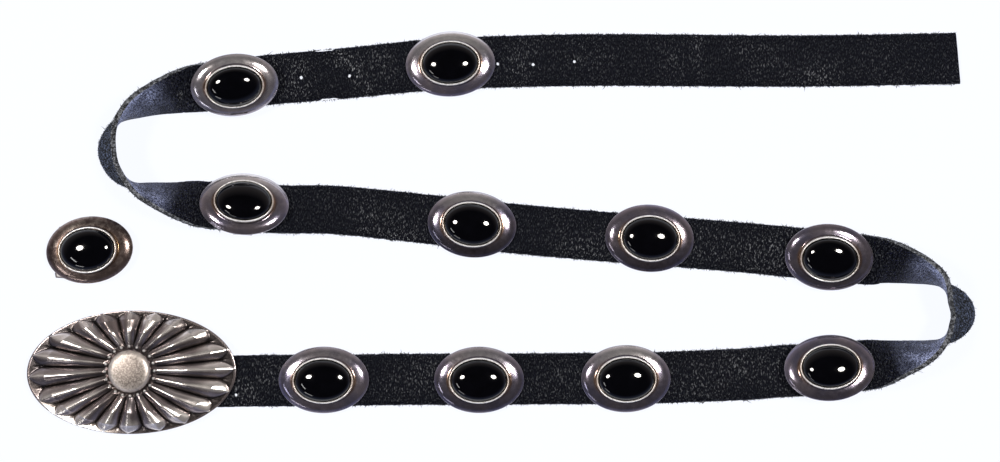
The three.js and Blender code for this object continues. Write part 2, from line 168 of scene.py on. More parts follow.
# Scuffs where the grain is rubbed lighter, the last a pale ring round a hole, painted light from the table
# below: distance along in mm, side (-1 to 1), half sizes along (mm) and across (share of the half width), and
# strength.
scuffs_and_light = [
    (60, -0.5, 9, 0.45, 0.50), (84, 0.0, 8, 0.60, 0.22), (95, 0.5, 7, 0.4, 0.16),
    (113, 0.55, 2.2, 0.5, 0.45), (111, -0.3, 1.6, 0.5, 0.22), (124, -0.1, 9, 0.5, 0.12),
    (160, 0.2, 14, 0.6, 0.16), (190, -0.2, 5, 0.8, 0.36), (205, 0.0, 4, 0.8, 0.25),
    (256, -0.8, 2.2, 0.35, 0.65), (260, 0.0, 3.0, 0.5, 0.75), (266, 0.65, 3.6, 0.35, 0.85),
    (250, 0.2, 6, 0.7, 0.28), (284, 0.45, 5, 0.35, 0.42), (286, -0.35, 6, 0.4, 0.40),
    (293, 0.6, 4, 0.4, 0.25), (497, 0.2, 5, 0.8, 0.22), (513, 0.75, 9, 0.3, 0.60),
    (510, 0.2, 7, 0.6, 0.26), (590, 0.45, 10, 0.5, 0.38), (602, 0.2, 6, 0.7, 0.30),
    (645, 0.0, 12, 0.8, 0.30), (668, 0.2, 10, 0.7, 0.42), (680, -0.2, 8, 0.7, 0.30),
    (845, 0.1, 9, 0.8, 0.38), (866, 0.4, 10, 0.6, 0.40), (880, -0.4, 9, 0.5, 0.30),
    (896, 0.0, 8, 0.7, 0.18), (940, 0.1, 9, 0.7, 0.22), (1000, 0.2, 9, 0.7, 0.28),
    (1014, -0.4, 8, 0.5, 0.22), (1068, 0.3, 7, 0.6, 0.30), (1080, -0.5, 7, 0.5, 0.55),
    # Not a scuff: a pale ring round the hole at 335 mm, painted light from the table below.
    (335, 0.0, 1.6, 0.16, 1.1),
]
sample_step = 1.0
columns_across = 18
end_skew = 0.8
# Punched holes: place along the way, place across (share of the width) and radius in mm.
punched_holes = [
    (0.1503, -0.03, 0.75), (0.1665, -0.07, 0.75), (0.1804, -0.04, 0.75), (0.2388, -0.06, 0.75),
    (0.2576, -0.01, 0.75), (0.3038, 0.00, 1.0), (0.9815, -0.27, 0.75),
]
# A short stretch between two conchos where both edges step in, in mm along.
pinch_depth = 0.6
pinch_start, pinch_end = 269.0, 276.8
pinch_shoulder = 0.6
ragged_depth = 0.34
sway_depth = 0.10
skewed_end = 6.0


def object_from(bm, name, materials, body="root"):
    """Makes the finished mesh an object that rides on the belt, with its faces smooth up to sharp edges."""
    mesh = bpy.data.meshes.new(name)
    bm.to_mesh(mesh)
    bm.free()
    mesh.shade_smooth()
    mesh.set_sharp_from_angle(angle=math.radians(50))
    for material in materials:
        mesh.materials.append(material)
    made = bpy.data.objects.new(name, mesh)
    bpy.context.scene.collection.objects.link(made)
    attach(made, body)
    return made


def linear(code, alpha=1.0):
    """An sRGB hex colour as the linear values that a shader reads."""
    parts = [int(code[i:i + 2], 16) / 255 for i in (1, 3, 5)]
    return (*[c / 12.92 if c <= 0.04045 else ((c + 0.055) / 1.055) ** 2.4 for c in parts], alpha)


def add_node(tree, kind, settings=None, inputs=None):
    """Adds a node with its settings; an input is a value or another node's output."""
    made = tree.nodes.new(kind)
    for name, value in (settings or {}).items():
        setattr(made, name, value)
    for name, value in (inputs or {}).items():
        if isinstance(value, bpy.types.NodeSocket):
            tree.links.new(value, made.inputs[name])
        else:
            made.inputs[name].default_value = value
    return made


def new_material(name):
    """An empty material with its shader and output joined, as (material, tree, shader)."""
    material = bpy.data.materials.new(name)
    material.use_nodes = True
    tree = material.node_tree
    tree.nodes.clear()
    shader = add_node(tree, "ShaderNodeBsdfPrincipled")
    output = add_node(tree, "ShaderNodeOutputMaterial")
    tree.links.new(shader.outputs[0], output.inputs[0])
    return material, tree, shader


def noise_of(tree, place, size, detail=2.0, roughness=0.5):
    """A noise whose grains are about this many mm across."""
    return add_node(tree, "ShaderNodeTexNoise", None, {
        "Vector": place, "Scale": 1000 / size, "Detail": detail, "Roughness": roughness}).outputs[0]


def ranged(tree, value, low, high, to_low=0.0, to_high=1.0):
    """The value with its range low to high laid onto another range, and held within it."""
    return add_node(tree, "ShaderNodeMapRange", None, {
        "Value": value, "From Min": low, "From Max": high, "To Min": to_low, "To Max": to_high}).outputs[0]


def mixed(tree, share, first, second):
    """The first colour passing into the second; a colour is a hex code, four numbers or a node's output."""
    first, second = (linear(c) if isinstance(c, str) else c for c in (first, second))
    return add_node(tree, "ShaderNodeMix", {"data_type": "RGBA"}, {0: share, 6: first, 7: second}).outputs[2]


# Chrome-tanned, drum-dyed black cowhide with a thin worn finish: near-black with a cold cast, its grain
# pressed into small cells drawn out across the strip, and the tops of the cells greyer where rubbed.
grain_leather, tree, shader = new_material("black_cowhide_grain")
place = add_node(tree, "ShaderNodeUVMap", {"uv_map": "along_across"}).outputs[0]
waver = add_node(tree, "ShaderNodeTexNoise", None, {"Vector": place, "Scale": 1000 / 2.4, "Detail": 2.0})
waver_shift = add_node(tree, "ShaderNodeVectorMath", {"operation": "SCALE"}, {
    0: waver.outputs["Color"], "Scale": 1.6 * MM})
wavy_place = add_node(tree, "ShaderNodeVectorMath", {"operation": "ADD"}, {
    0: place, 1: waver_shift.outputs[0]})
cell_map = add_node(tree, "ShaderNodeMapping", None, {
    "Vector": wavy_place.outputs[0], "Scale": (1 / 0.6, 1 / 1.25, 1.0)})
cells = add_node(tree, "ShaderNodeTexVoronoi", {"feature": "SMOOTH_F1", "voronoi_dimensions": "2D"}, {
    "Vector": cell_map.outputs[0], "Scale": 1000.0, "Smoothness": 0.35})
cell_tops = ranged(tree, cells.outputs["Distance"], 0.16, 0.52, 1.0, 0.0)
pore_map = add_node(tree, "ShaderNodeMapping", None, {
    "Vector": wavy_place.outputs[0], "Scale": (1.0, 0.55, 1.0)})
pores = noise_of(tree, pore_map.outputs[0], 0.8, 3.0, 0.7)
broad_wear = ranged(tree, noise_of(tree, place, 22.0, 3.0), 0.45, 0.75, 0.08, 0.22)
scuff_and_light_mask = add_node(tree, "ShaderNodeAttribute", {"attribute_name": "scuff_and_light"})
worn = add_node(tree, "ShaderNodeMath", {"operation": "MULTIPLY"}, {
    0: cell_tops, 1: ranged(tree, pores, 0.5, 0.62)})
wear_and_light = add_node(tree, "ShaderNodeMath", {"operation": "ADD"}, {0: broad_wear, 1: scuff_and_light_mask.outputs["Fac"]})
worn_tops = add_node(tree, "ShaderNodeMath", {"operation": "MULTIPLY", "use_clamp": True}, {
    0: worn.outputs[0], 1: wear_and_light.outputs[0]})
ground = mixed(tree, cell_tops, "#010102", "#1d2025")
# Where the strap stands on edge a blue sheen is painted into its colour, a painted sheen for the cool light
# it catches there.
painted_sheen_mask = add_node(tree, "ShaderNodeAttribute", {"attribute_name": "painted_sheen"})
painted_sheen_share = add_node(tree, "ShaderNodeMath", {"operation": "MULTIPLY"}, {
    0: painted_sheen_mask.outputs["Fac"], 1: ranged(tree, pores, 0.38, 0.62, 0.1)})
sheen_painted_colour = mixed(tree, painted_sheen_share.outputs[0], ground, "#bcc8f4")
tree.links.new(mixed(tree, worn_tops.outputs[0], sheen_painted_colour, "#bcc1c8"), shader.inputs["Base Color"])
tree.links.new(ranged(tree, pores, 0.3, 0.7, 0.42, 0.7), shader.inputs["Roughness"])
grain_height = add_node(tree, "ShaderNodeMath", {"operation": "MULTIPLY_ADD"}, {
    0: pores, 1: 0.8, 2: cell_tops})
grain_bump = add_node(tree, "ShaderNodeBump", None, {
    "Height": grain_height.outputs[0], "Strength": 1.0, "Distance": 0.45 * MM})
tree.links.new(grain_bump.outputs[0], shader.inputs["Normal"])
shader.inputs["Specular IOR Level"].default_value = 0.14
shader.inputs["Specular Tint"].default_value = linear("#cdd5ff")
shader.inputs["Sheen Weight"].default_value = 0.05
shader.inputs["Sheen Roughness"].default_value = 0.3
shader.inputs["Sheen Tint"].default_value = linear("#5564f0")

# The flesh side of the same hide: a short blue-grey nap with pale and dark flecks, quite matte.
flesh_leather, tree, shader = new_material("cowhide_flesh_nap")
place = add_node(tree, "ShaderNodeTexCoord").outputs["Object"]
flecks = noise_of(tree, place, 1.1, 3.0, 0.7)
nap_dark = mixed(tree, noise_of(tree, place, 7.0), "#010203", "#080b10")
nap = mixed(tree, ranged(tree, flecks, 0.46, 0.62), nap_dark, "#626e8a")
tree.links.new(nap, shader.inputs["Base Color"])
shader.inputs["Roughness"].default_value = 0.92
shader.inputs["Specular IOR Level"].default_value = 0.2
nap_bump = add_node(tree, "ShaderNodeBump", None, {"Height": flecks, "Strength": 0.9, "Distance": 0.5 * MM})
tree.links.new(nap_bump.outputs[0], shader.inputs["Normal"])

# The knife-cut edge: bare fibre that took less dye, from near-black to a cold grey, rough and ragged.
edge_leather, tree, shader = new_material("cowhide_cut_edge")
place = add_node(tree, "ShaderNodeTexCoord").outputs["Object"]
fibre = noise_of(tree, place, 1.2, 4.0, 0.7)
dyed = mixed(tree, ranged(tree, noise_of(tree, place, 14.0, 3.0), 0.35, 0.65), "#0b0d11", "#2c2f34")
tree.links.new(mixed(tree, ranged(tree, fibre, 0.45, 0.62), dyed, "#868b95"), shader.inputs["Base Color"])
shader.inputs["Roughness"].default_value = 0.9
edge_bump = add_node(tree, "ShaderNodeBump", None, {"Height": fibre, "Strength": 1.0, "Distance": 0.6 * MM})
tree.links.new(edge_bump.outputs[0], shader.inputs["Normal"])

bm = bmesh.new()
steps_along = round(way_length / sample_step)
bmesh.ops.create_grid(bm, x_segments=steps_along, y_segments=columns_across, size=0.5)
uv_layer = bm.loops.layers.uv.new("along_across")
scuff_and_light_layer = bm.verts.layers.float.new("scuff_and_light")
painted_sheen_layer = bm.verts.layers.float.new("painted_sheen")
thickness_layer = bm.verts.layers.deform.verify()
sections = {}
flat_places = {}
for corner in bm.verts:
    step = round((corner.co.x + 0.5) * steps_along)
    share = -2 * corner.co.y
    distance = step * way_length / steps_along
    if step not in sections:
        sections[step] = strap_section(distance)
    flat_places[corner] = (step, distance, share)
for face in bm.faces:
    for loop in face.loops:
        step, distance, share = flat_places[loop.vert]
        loop[uv_layer].uv = (distance * MM, share * sections[step][3] * MM)
for corner, (step, distance, share) in flat_places.items():
    middle, right, up, half = sections[step]
    # Columns crowd towards the edges, where the section rounds off.
    side = math.copysign(1 - (1 - abs(share)) ** 1.25, share)
    ragged = ragged_depth * noise.noise(Vector((distance / 1.6, 7.1 * side, 0))) * abs(side) ** 6
    pinched = smoothstep(distance, pinch_start - pinch_shoulder, pinch_start + pinch_shoulder)
    pinched *= 1 - smoothstep(distance, pinch_end - pinch_shoulder, pinch_end + pinch_shoulder)
    ragged -= pinch_depth * pinched * abs(side)
    sway = sway_depth * noise.noise(Vector((distance / 9.0, 2.5 * side, 4.0)))
    # The edge that a bend stands on doesn't reach below the table.
    if side * right.z < -0.1:
        ragged = min(ragged, 0.0)
    place_mm = middle + right * (side * half + math.copysign(1.0, side) * ragged) + up * sway
    if distance < skewed_end:
        heading = Vector((read_rows(0, 0)[1], read_rows(0, 1)[1], 0)).normalized()
        place_mm += heading * side * end_skew * (1 - distance / skewed_end)
    rounding = (1 - abs(side)) * half
    # Pressed thin at its edges where it lies flat, at its full thickness where the bend shows the cut.
    edge_share = 0.55 + 0.35 * smoothstep(abs(right.z), 0.2, 0.7)
    corner[thickness_layer][0] = edge_share + (1 - edge_share) * smoothstep(rounding, 0.0, 0.8)
    scuff_and_light_sum = 0.0
    for at, across, half_along, half_across, strength in scuffs_and_light:
        reach = ((distance - at) / half_along) ** 2 + ((side - across) / half_across) ** 2
        scuff_and_light_sum += strength * math.exp(-reach)
    corner[scuff_and_light_layer] = scuff_and_light_sum
    # The painted blue sheen is strongest on the raised half, close to where the strap stands upright.
    raised = math.copysign(side, side * right.z)
    painted_sheen = smoothstep(abs(right.z), 0.74, 1.0) * (0.3 + 0.7 * smoothstep(raised, -0.5, 0.6))
    corner[painted_sheen_layer] = painted_sheen * (0.85 + 0.9 * noise.noise(Vector((distance / 6.0, side * 1.5, 9.0))))
    corner.co = place_mm * MM
for place_share, across, hole_radius in punched_holes:
    distance = place_share * way_length
    middle, right, up, half = strap_section(distance)
    centre = (middle + right * (2 * across * half)) * MM
    nearest = min(bm.verts, key=lambda v: (v.co - centre).length_squared)
    ring = {v for f in nearest.link_faces for v in f.verts if v is not nearest}
    bmesh.ops.delete(bm, geom=[nearest], context="VERTS")
    for corner in ring:
        spoke = corner.co - centre
        spoke -= spoke.dot(up) * up
        corner.co = centre + spoke.normalized() * hole_radius * MM
strap = object_from(bm, "strap_leather", [grain_leather, flesh_leather, edge_leather])
strap.vertex_groups.new(name="thickness")
thicken = strap.modifiers.new("thicken", "SOLIDIFY")
thicken.thickness = strap_thickness * MM
thicken.offset = 0
thicken.vertex_group = "thickness"
thicken.thickness_vertex_group = 0.0
thicken.material_offset = 1
thicken.material_offset_rim = 2
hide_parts("strap")

# Edge fibres
# Loose fibres of the hide, dark to mid grey: most stand out of the knife-cut edges, in tufts, and the rest
# out of the nap where the bends turn the flesh side up. Most are short, a few are a millimetre or more.
rng = np.random.default_rng(11)
fibre_leather, tree, shader = new_material("loose_hide_fibre")
place = add_node(tree, "ShaderNodeTexCoord").outputs["Object"]
tuft_colour = mixed(tree, noise_of(tree, place, 3.0, 1.0), "#07090c", "#41464b")
tree.links.new(tuft_colour, shader.inputs["Base Color"])
shader.inputs["Roughness"].default_value = 0.9
edge_fibre_count = 11000
nap_fibre_count = 3800
edge_fibre_radius = 0.16
nap_fibre_radius = 0.15
# Stretches of the two bends, in mm along, where the flesh side is turned up.
turned_up = ((330.0, 420.0), (742.0, 812.0))
fibre_corners, fibre_faces = [], []


def add_fibre(root, lean, curl, radius):
    """A fibre of three rings of three corners, tapered to its end and kept over the table."""
    across = lean.cross(curl if curl.length > 0.001 else Vector((0, 0, 1))).normalized()
    over = lean.normalized().cross(across)
    start = len(fibre_corners)
    for part, girth in ((0.0, 1.0), (0.55, 0.7), (1.0, 0.15)):
        spine = root + lean * part + curl * part * part
        spine.z = max(spine.z, radius + 0.06)
        for turn in (0, 120, 240):
            angle = math.radians(turn)
            spoke = (across * math.cos(angle) + over * math.sin(angle)) * girth * radius
            fibre_corners.append((spine + spoke) * MM)
    for ring_start in (start, start + 3):
        for i in range(3):
            j = (i + 1) % 3
            fibre_faces.append((ring_start + i, ring_start + j, ring_start + 3 + j, ring_start + 3 + i))
    fibre_faces.append((start + 2, start + 1, start))
    fibre_faces.append((start + 6, start + 7, start + 8))


for _ in range(edge_fibre_count):
    distance = float(rng.uniform(1, way_length - 30))
    side = float(rng.choice((-1.0, 1.0)))
    tuft = noise.noise(Vector((distance / 4.0, side * 3.0, 1.0)))
    level = float(rng.uniform(-0.5, 0.4))
    length = float(0.2 + rng.gamma(1.3, 0.24)) * (1.0 + 0.7 * tuft)
    drift, rise, bow = (float(v) for v in rng.normal(0, (0.8, 0.5, 0.5)))
    if tuft < rng.uniform(-0.7, 0.2):
        continue
    middle, right, up, half = strap_section(distance)
    heading = up.cross(right)
    root = middle + right * side * (half - 0.1) + up * level * strap_thickness
    # On a standing edge they lean over to the flesh side.
    lean = (right * side + heading * drift + up * (rise - 1.3 * abs(right.z))).normalized() * length
    add_fibre(root, lean, heading * bow * length * 0.5, edge_fibre_radius)
for _ in range(nap_fibre_count):
    first, last = turned_up[int(rng.integers(0, 2))]
    distance = float(rng.uniform(first, last))
    side = float(rng.uniform(-1, 1))
    length = float(0.25 + rng.gamma(1.5, 0.28))
    drift, slip, bow = (float(v) for v in rng.normal(0, (0.8, 0.8, 0.5)))
    middle, right, up, half = strap_section(distance)
    heading = up.cross(right)
    root = middle + right * side * (half - 0.3) - up * (strap_thickness / 2 - 0.05)
    lean = (-up + heading * drift + right * slip).normalized() * length
    add_fibre(root, lean, heading * bow * length * 0.5, nap_fibre_radius)
mesh = bpy.data.meshes.new("edge_fibres")
mesh.from_pydata(fibre_corners, [], fibre_faces)
bm = bmesh.new()
bm.from_mesh(mesh)
bmesh.ops.recalc_face_normals(bm, faces=bm.faces)
fibres = object_from(bm, "edge_fibres", [fibre_leather])

# Buckle
# A stamped and chased silver plate on a hook and loop: 20 raised petals run from a ring of small beads round
# a plain domed boss to a thin flat rim. Its hollows are blackened and its ridges are rubbed bright; one flank
# of each petal, its right side and the flats at its lower left are painted lighter as painted light.
buckle_length = 90.0
buckle_depth = 53.0
buckle_rim = 1.2
buckle_swell = 1.4
petal_height = 2.6
bead_diameter = 1.25
boss_diameter = 18.4
boss_height = 3.4
bead_ring = 10.65
# The boss and its beads sit a little off the middle of the oval.
boss_shift = Vector((-0.37, 0.72, 0))
sheet_thickness = 0.9
buckle_frame = (Matrix.Translation(Vector((-159.69, -60.40, 4.10)) * MM)
                @ Matrix.Rotation(math.radians(1.1), 4, "Z") @ Matrix.Scale(MM, 4))

# Where each petal's ridge meets the rim, in degrees round the oval from its right tip.
petal_ends = [1.7, 20.3, 42.2, 60.5, 75.4, 89.7, 106.2, 119.9, 141.3, 162.1,
              183.0, 206.0, 222.4, 237.9, 253.6, 267.5, 285.5, 301.2, 318.2, 339.8]
petal_columns = 24
# How far out, as a share of the way from the beads to the rim, the petals start to narrow and where they end.
petal_narrows = 0.64
petal_tip = 0.975
# The middle of the lower left side, in degrees round the oval, and how far to both sides it reaches.
lower_left_turn = 233
lower_left_reach = 24
hook_width = 4.0
hook_bottom = -3.9


def silver(name, bright, patina, black, gloss, grit, speck=0.07, speck_size=2.2, film=0.14):
    """Worn silver under a thin dull film: bright where its wear attribute is 1, blackened where it is 0. That
    attribute carries real wear and also painted light and shade laid on by the callers.
    """
    material, tree, shader = new_material(name)
    place = add_node(tree, "ShaderNodeTexCoord").outputs["Object"]
    clouds = noise_of(tree, place, 11.0, 3.0, 0.55)
    blotch = noise_of(tree, place, speck_size, 4.0, 0.6)
    wear_and_light = add_node(tree, "ShaderNodeAttribute", {"attribute_name": "wear_and_light"})
    level = add_node(tree, "ShaderNodeMath", {"operation": "ADD", "use_clamp": True}, {
        0: wear_and_light.outputs["Fac"], 1: ranged(tree, blotch, 0.3, 0.7, -speck, speck)}).outputs[0]
    tint = mixed(tree, ranged(tree, clouds, 0.35, 0.65), *patina)
    dark = mixed(tree, ranged(tree, level, 0.0, 0.45), black, tint)
    full = mixed(tree, ranged(tree, level, 0.5, 1.0), dark, bright)
    # A painted golden highlight at the bezel's two ends, standing in for the lamps' reflection there.
    bezel_glint = add_node(tree, "ShaderNodeAttribute", {"attribute_name": "bezel_glint"})
    tree.links.new(mixed(tree, bezel_glint.outputs["Fac"], full, "#9a7447"), shader.inputs["Base Color"])
    shader.inputs["Metallic"].default_value = 1 - film
    tree.links.new(ranged(tree, blotch, 0.3, 0.7, *gloss), shader.inputs["Roughness"])
    pits = noise_of(tree, place, 0.9, 3.0, 0.7)
    bump = add_node(tree, "ShaderNodeBump", None, {"Height": pits, "Strength": grit, "Distance": 0.1 * MM})
    tree.links.new(bump.outputs[0], shader.inputs["Normal"])
    return material


buckle_silver = silver(
    "oxidised_stamped_silver", "#faf4f0", ("#9c908e", "#8d8588"), "#0b090b", (0.2, 0.27), 0.02, 0.03,
    3.0, 0.18)
boss_silver = silver(
    "sand_textured_silver", "#d8cfc9", ("#7e756f", "#726a66"), "#1c1614", (0.34, 0.44), 0.8, 0.24, 0.7, 0.28)
# The beads here and the bezels of the conchos are nearly pure silver, soft and white where they were
# burnished;
# the flats at the lower left of the buckle take it too, as a painted highlight.
fine_silver = silver(
    "burnished_fine_silver", "#fdfdff", ("#8f8680", "#7c7270"), "#120e0c", (0.22, 0.36), 0.1, 0.05, 2.2, 0.55)


def extrude_ring(bm, ring, points):
    """Extrudes a closed ring of corners and puts the new ones at the points, one for one."""
    edges = [bm.edges.get((a, b)) for a, b in zip(ring, ring[1:] + ring[:1])]
    made = bmesh.ops.extrude_edge_only(bm, edges=edges)["geom"]
    new = {v for v in made if isinstance(v, bmesh.types.BMVert)}
    grown = [next(e.other_vert(v) for e in v.link_edges if e.other_vert(v) in new) for v in ring]
    for corner, point in zip(grown, points):
        corner.co = point
    return grown


def start_disc(bm, points, middle):
    """A disc of triangles through a closed ring of points, with its middle; gives the ring of corners."""
    made = bmesh.ops.create_circle(bm, cap_ends=True, cap_tris=True, segments=len(points), radius=1.0)
    centre = max(made["verts"], key=lambda v: len(v.link_edges))
    centre.co = middle
    turned = [v for v in made["verts"] if v is not centre]
    turned.sort(key=lambda v: math.atan2(v.co.y, v.co.x) % math.tau)
    for corner, point in zip(turned, points):
        corner.co = point
    return turned


def close_ring(bm, ring, middle):
    """Closes a ring of corners over a point in its middle."""
    ring = extrude_ring(bm, ring, [v.co.copy() for v in ring])
    bmesh.ops.pointmerge(bm, verts=ring, merge_co=middle)


loop_thickness = 1.0
loop_bend = 1.0
# The loop strip's width, as shares of it from its one end over its bar to the other, and its section.
loop_shares = [0.8, 0.84, 0.88, 0.93, 0.97, 1.0, 1.0, 0.97, 0.93, 0.88, 0.84, 0.8]
loop_outline = [(-0.5, 0.2), (-0.5, -0.2), (-0.46, -0.5), (-0.38, -0.5), (0.38, -0.5), (0.46, -0.5),
                (0.5, -0.2), (0.5, 0.2), (0.46, 0.5), (0.38, 0.5), (-0.38, 0.5), (-0.46, 0.5)]


def strap_loop(bm, wear_and_light_layer, shift, wear_and_light, bar_side, top_side, floor, leg_top, slant=0.0):
    """A flat strip bent up at both sides of the strap, its bends rounded, its ends inside the metal above."""
    bar = floor - loop_thickness / 2
    knee = (bar_side + 0.3 * (top_side - bar_side), bar + loop_bend + 0.3 * (leg_top - bar - loop_bend))
    half_path = [(top_side, leg_top), knee, (bar_side, bar + loop_bend)]
    for turn in (30, 60):
        a = math.radians(turn)
        half_path.append((bar_side - loop_bend * (1 - math.cos(a)), bar + loop_bend * (1 - math.sin(a))))
    half_path.append((bar_side - loop_bend, bar))
    path = [(-y, z) for y, z in half_path] + half_path[::-1]
    rings = []
    for i, (y, z) in enumerate(path):
        before, after = path[max(i - 1, 0)], path[min(i + 1, len(path) - 1)]
        way = Vector((0, after[0] - before[0], after[1] - before[1])).normalized()
        inwards = Vector((1, 0, 0)).cross(way)
        rise = slant if i in (0, len(path) - 1) else 0.0
        points = []
        for a, b in loop_outline:
            across = a * loop_width
            point = Vector((across * loop_shares[i], y, z + rise * across)) + inwards * b * loop_thickness
            points.append(shift @ point)
        rings.append(points)
    ring = start_disc(bm, rings[0], sum(rings[0], Vector()) / len(loop_outline))
    for i, points in enumerate(rings[1:]):
        # Its sawn edges and its bends are black, the faces of its legs worn.
        in_leg = i < 2 or i > len(rings) - 3
        for corner, (a, _) in zip(ring, loop_outline):
            corner[wear_and_light_layer] = wear_and_light if in_leg and abs(a) < 0.4 else 0.12
        ring = extrude_ring(bm, ring, points)
    close_ring(bm, ring, sum(rings[-1], Vector()) / len(loop_outline))


column_lines = []
for i, end in enumerate(petal_ends):
    following = petal_ends[(i + 1) % 20] + (360 if i == 19 else 0)
    previous = petal_ends[i - 1] - (360 if i == 0 else 0)
    for j in range(petal_columns):
        u = (j - petal_columns / 2) / (petal_columns / 2)
        rim_turn = end + (following - end) / 2 * u if u >= 0 else end + (end - previous) / 2 * u
        column_lines.append((math.radians(i * 18 + 9 * u), math.radians(rim_turn), u))


def buckle_points(out, level_of):
    points = []
    for bead_turn, rim_turn, u in column_lines:
        inner = Vector((math.cos(bead_turn), math.sin(bead_turn), 0)) * (bead_ring + bead_diameter * 0.3)
        inner += boss_shift
        outer = Vector((math.cos(rim_turn) * buckle_length / 2, math.sin(rim_turn) * buckle_depth / 2, 0))
        point = inner.lerp(outer, out)
        point.z = level_of(u, rim_turn)
        points.append(point)
    return points


def petal_level(out, u, rim_turn):
    """Height over the rim's upper face, and how bright the silver is there: rubbed ridges and blackened
    hollows, with painted light on one flank of each petal, on the right side and on the flats at the lower
    left.
    """
    swell = 0.2 + (buckle_swell - 0.3) * (1 - smoothstep(out, 0.4, 0.85))
    ridge = 0.75 + (petal_height - 0.75) * smoothstep(out, -0.05, 0.45)
    # Each petal runs down to the rim in an even slope and ends in a point.
    ridge *= 1 - 0.86 * min(max((out - 0.76) / 0.215, 0.0), 1.0)
    narrowing = max(out - petal_narrows, 0.0) / (petal_tip - petal_narrows)
    wide = max(1 - narrowing ** 3.6, 0.0)
    across = abs(u) / max(wide, 0.02)
    roof = max(0.72 * (1 - across ** 2) + 0.28 * (1 - across), 0.0)
    groove = smoothstep(abs(u), 0.9, 1.0) * smoothstep(out, 0.0, 0.1) * (1 - smoothstep(out, 0.8, 0.95))
    turn = math.degrees(rim_turn) % 360
    lower_left = math.exp(-((turn - lower_left_turn) / lower_left_reach) ** 2)
    # The flats at the lower left are pulled a little askew, and so catch the light.
    askew = -0.62 * lower_left * math.copysign(1 - abs(u), u) * smoothstep(across, 0.8, 1.0)
    height = swell + ridge * roof - 0.3 * groove + askew * smoothstep(out, 0.7, 0.85)
    height += 3.0 * lower_left * max(out - 0.8, 0.0)
    rim_line = 0.3 * smoothstep(out, 0.967, 0.972)
    # The flats stay blackened, a little brighter towards the rim; at the lower left they are painted near
    # white, a painted highlight.
    if across >= 1:
        corner_dark = smoothstep(out, 0.8, 0.93)
        return height, 0.03 + (0.06 + 0.9 * lower_left) * corner_dark + rim_line
    # Painted light: the flank of each petal that faces up the plate is painted lighter, and the petals on the
    # right side brighter towards the rim, for how the lamps fall on them.
    facing = rim_turn + math.copysign(math.pi / 2, u)
    painted_flank_light = 0.5 + 0.5 * math.cos(facing - math.radians(80))
    outwards = smoothstep(out, 0.5, 0.9)
    painted_right_light = 0.5 + 0.5 * math.cos(rim_turn - math.radians(-10))
    bright_share = 0.18 + 0.44 * painted_flank_light + (0.15 + 1.1 * painted_right_light) * outwards * (0.3 + 0.7 * painted_flank_light)
    bright_share += 0.45 * smoothstep(roof, 0.8, 1.0)
    bright_share *= 0.55 + 0.45 * smoothstep(out, 0.0, 0.25)
    bright_share *= (1 - 0.95 * groove) * (1 - 0.9 * smoothstep(across, 0.66, 1.0))
    # No two petals are rubbed alike.
    spoke = Vector((math.cos(rim_turn), math.sin(rim_turn), 0)) * 5.3
    bright_share *= 1 + 0.5 * noise.noise(spoke + Vector((0, 0, 2.0 * out)))
    return height, bright_share + rim_line


bm = bmesh.new()
wear_and_light_layer = bm.verts.layers.float.new("wear_and_light")
ring = start_disc(bm, buckle_points(0.25, lambda u, turn: buckle_swell), Vector((0, 0, buckle_swell)))
for out, level in ((0.85, buckle_swell * 0.8), (0.985, 0.0), (1.0, 0.15), (1.0, buckle_rim),
                   (0.992, buckle_rim + 0.18)):
    ring = extrude_ring(bm, ring, buckle_points(out, lambda u, turn: level))
for corner in bm.verts:
    corner[wear_and_light_layer] = 0.42
# The rings lie closest at the petals' ends.
outs = [0.975, 0.97, 0.965, 0.96, 0.955, 0.95, 0.945]
outs += [0.94 - 0.01 * i for i in range(20)] + [0.73 - 0.02 * i for i in range(37)]
for out in outs:
    level_of = lambda u, turn: buckle_rim + petal_level(out, u, turn)[0]
    ring = extrude_ring(bm, ring, buckle_points(out, level_of))
    for corner, (_, rim_turn, u) in zip(ring, column_lines):
        corner[wear_and_light_layer] = petal_level(out, u, rim_turn)[1]
boss_foot = buckle_rim + buckle_swell - 0.5
# The boss from its foot to its top: shares of its radius and height, and how rubbed it is.
boss_profile = [
    (1.10, 0.0, 0.25), (1.03, -0.1, 0.15), (1.01, 0.1, 0.3), (1.0, 0.38, 0.45), (0.985, 0.55, 0.7),
    (0.955, 0.68, 0.9), (0.91, 0.79, 1.0), (0.85, 0.87, 0.95), (0.77, 0.935, 0.8), (0.64, 0.99, 0.6),
    (0.45, 1.04, 0.55), (0.25, 1.06, 0.55), (0.12, 1.07, 0.55),
]
for out, up_share, bright_share in boss_profile:
    radius = out * boss_diameter / 2
    level = Vector((0, 0, boss_foot + up_share * boss_height)) + boss_shift
    points = [Vector((math.cos(a), math.sin(a), 0)) * radius + level for a, _, _ in column_lines]
    ring = extrude_ring(bm, ring, points)
    for corner in ring:
        corner[wear_and_light_layer] = bright_share
close_ring(bm, ring, level)
for face in bm.faces:
    # The flats between the petal ends at the lower left get the white fine silver, a painted highlight.
    middle = face.calc_center_median()
    turn = math.degrees(math.atan2(middle.y / buckle_depth, middle.x / buckle_length)) % 360
    reach = 2 * math.hypot(middle.x / buckle_length, middle.y / buckle_depth)
    low = middle.z < buckle_rim + 0.62 + max(reach - 0.8, 0.0) * 3.0
    if 206 < turn < 262 and 0.84 < reach and buckle_rim < middle.z and low:
        face.material_index = 2
for face in bm.faces:
    if face.calc_center_median().z > boss_foot + 0.3 * boss_height:
        if (face.calc_center_median() - boss_shift).xy.length < boss_diameter / 2 * 0.97:
            face.material_index = 1
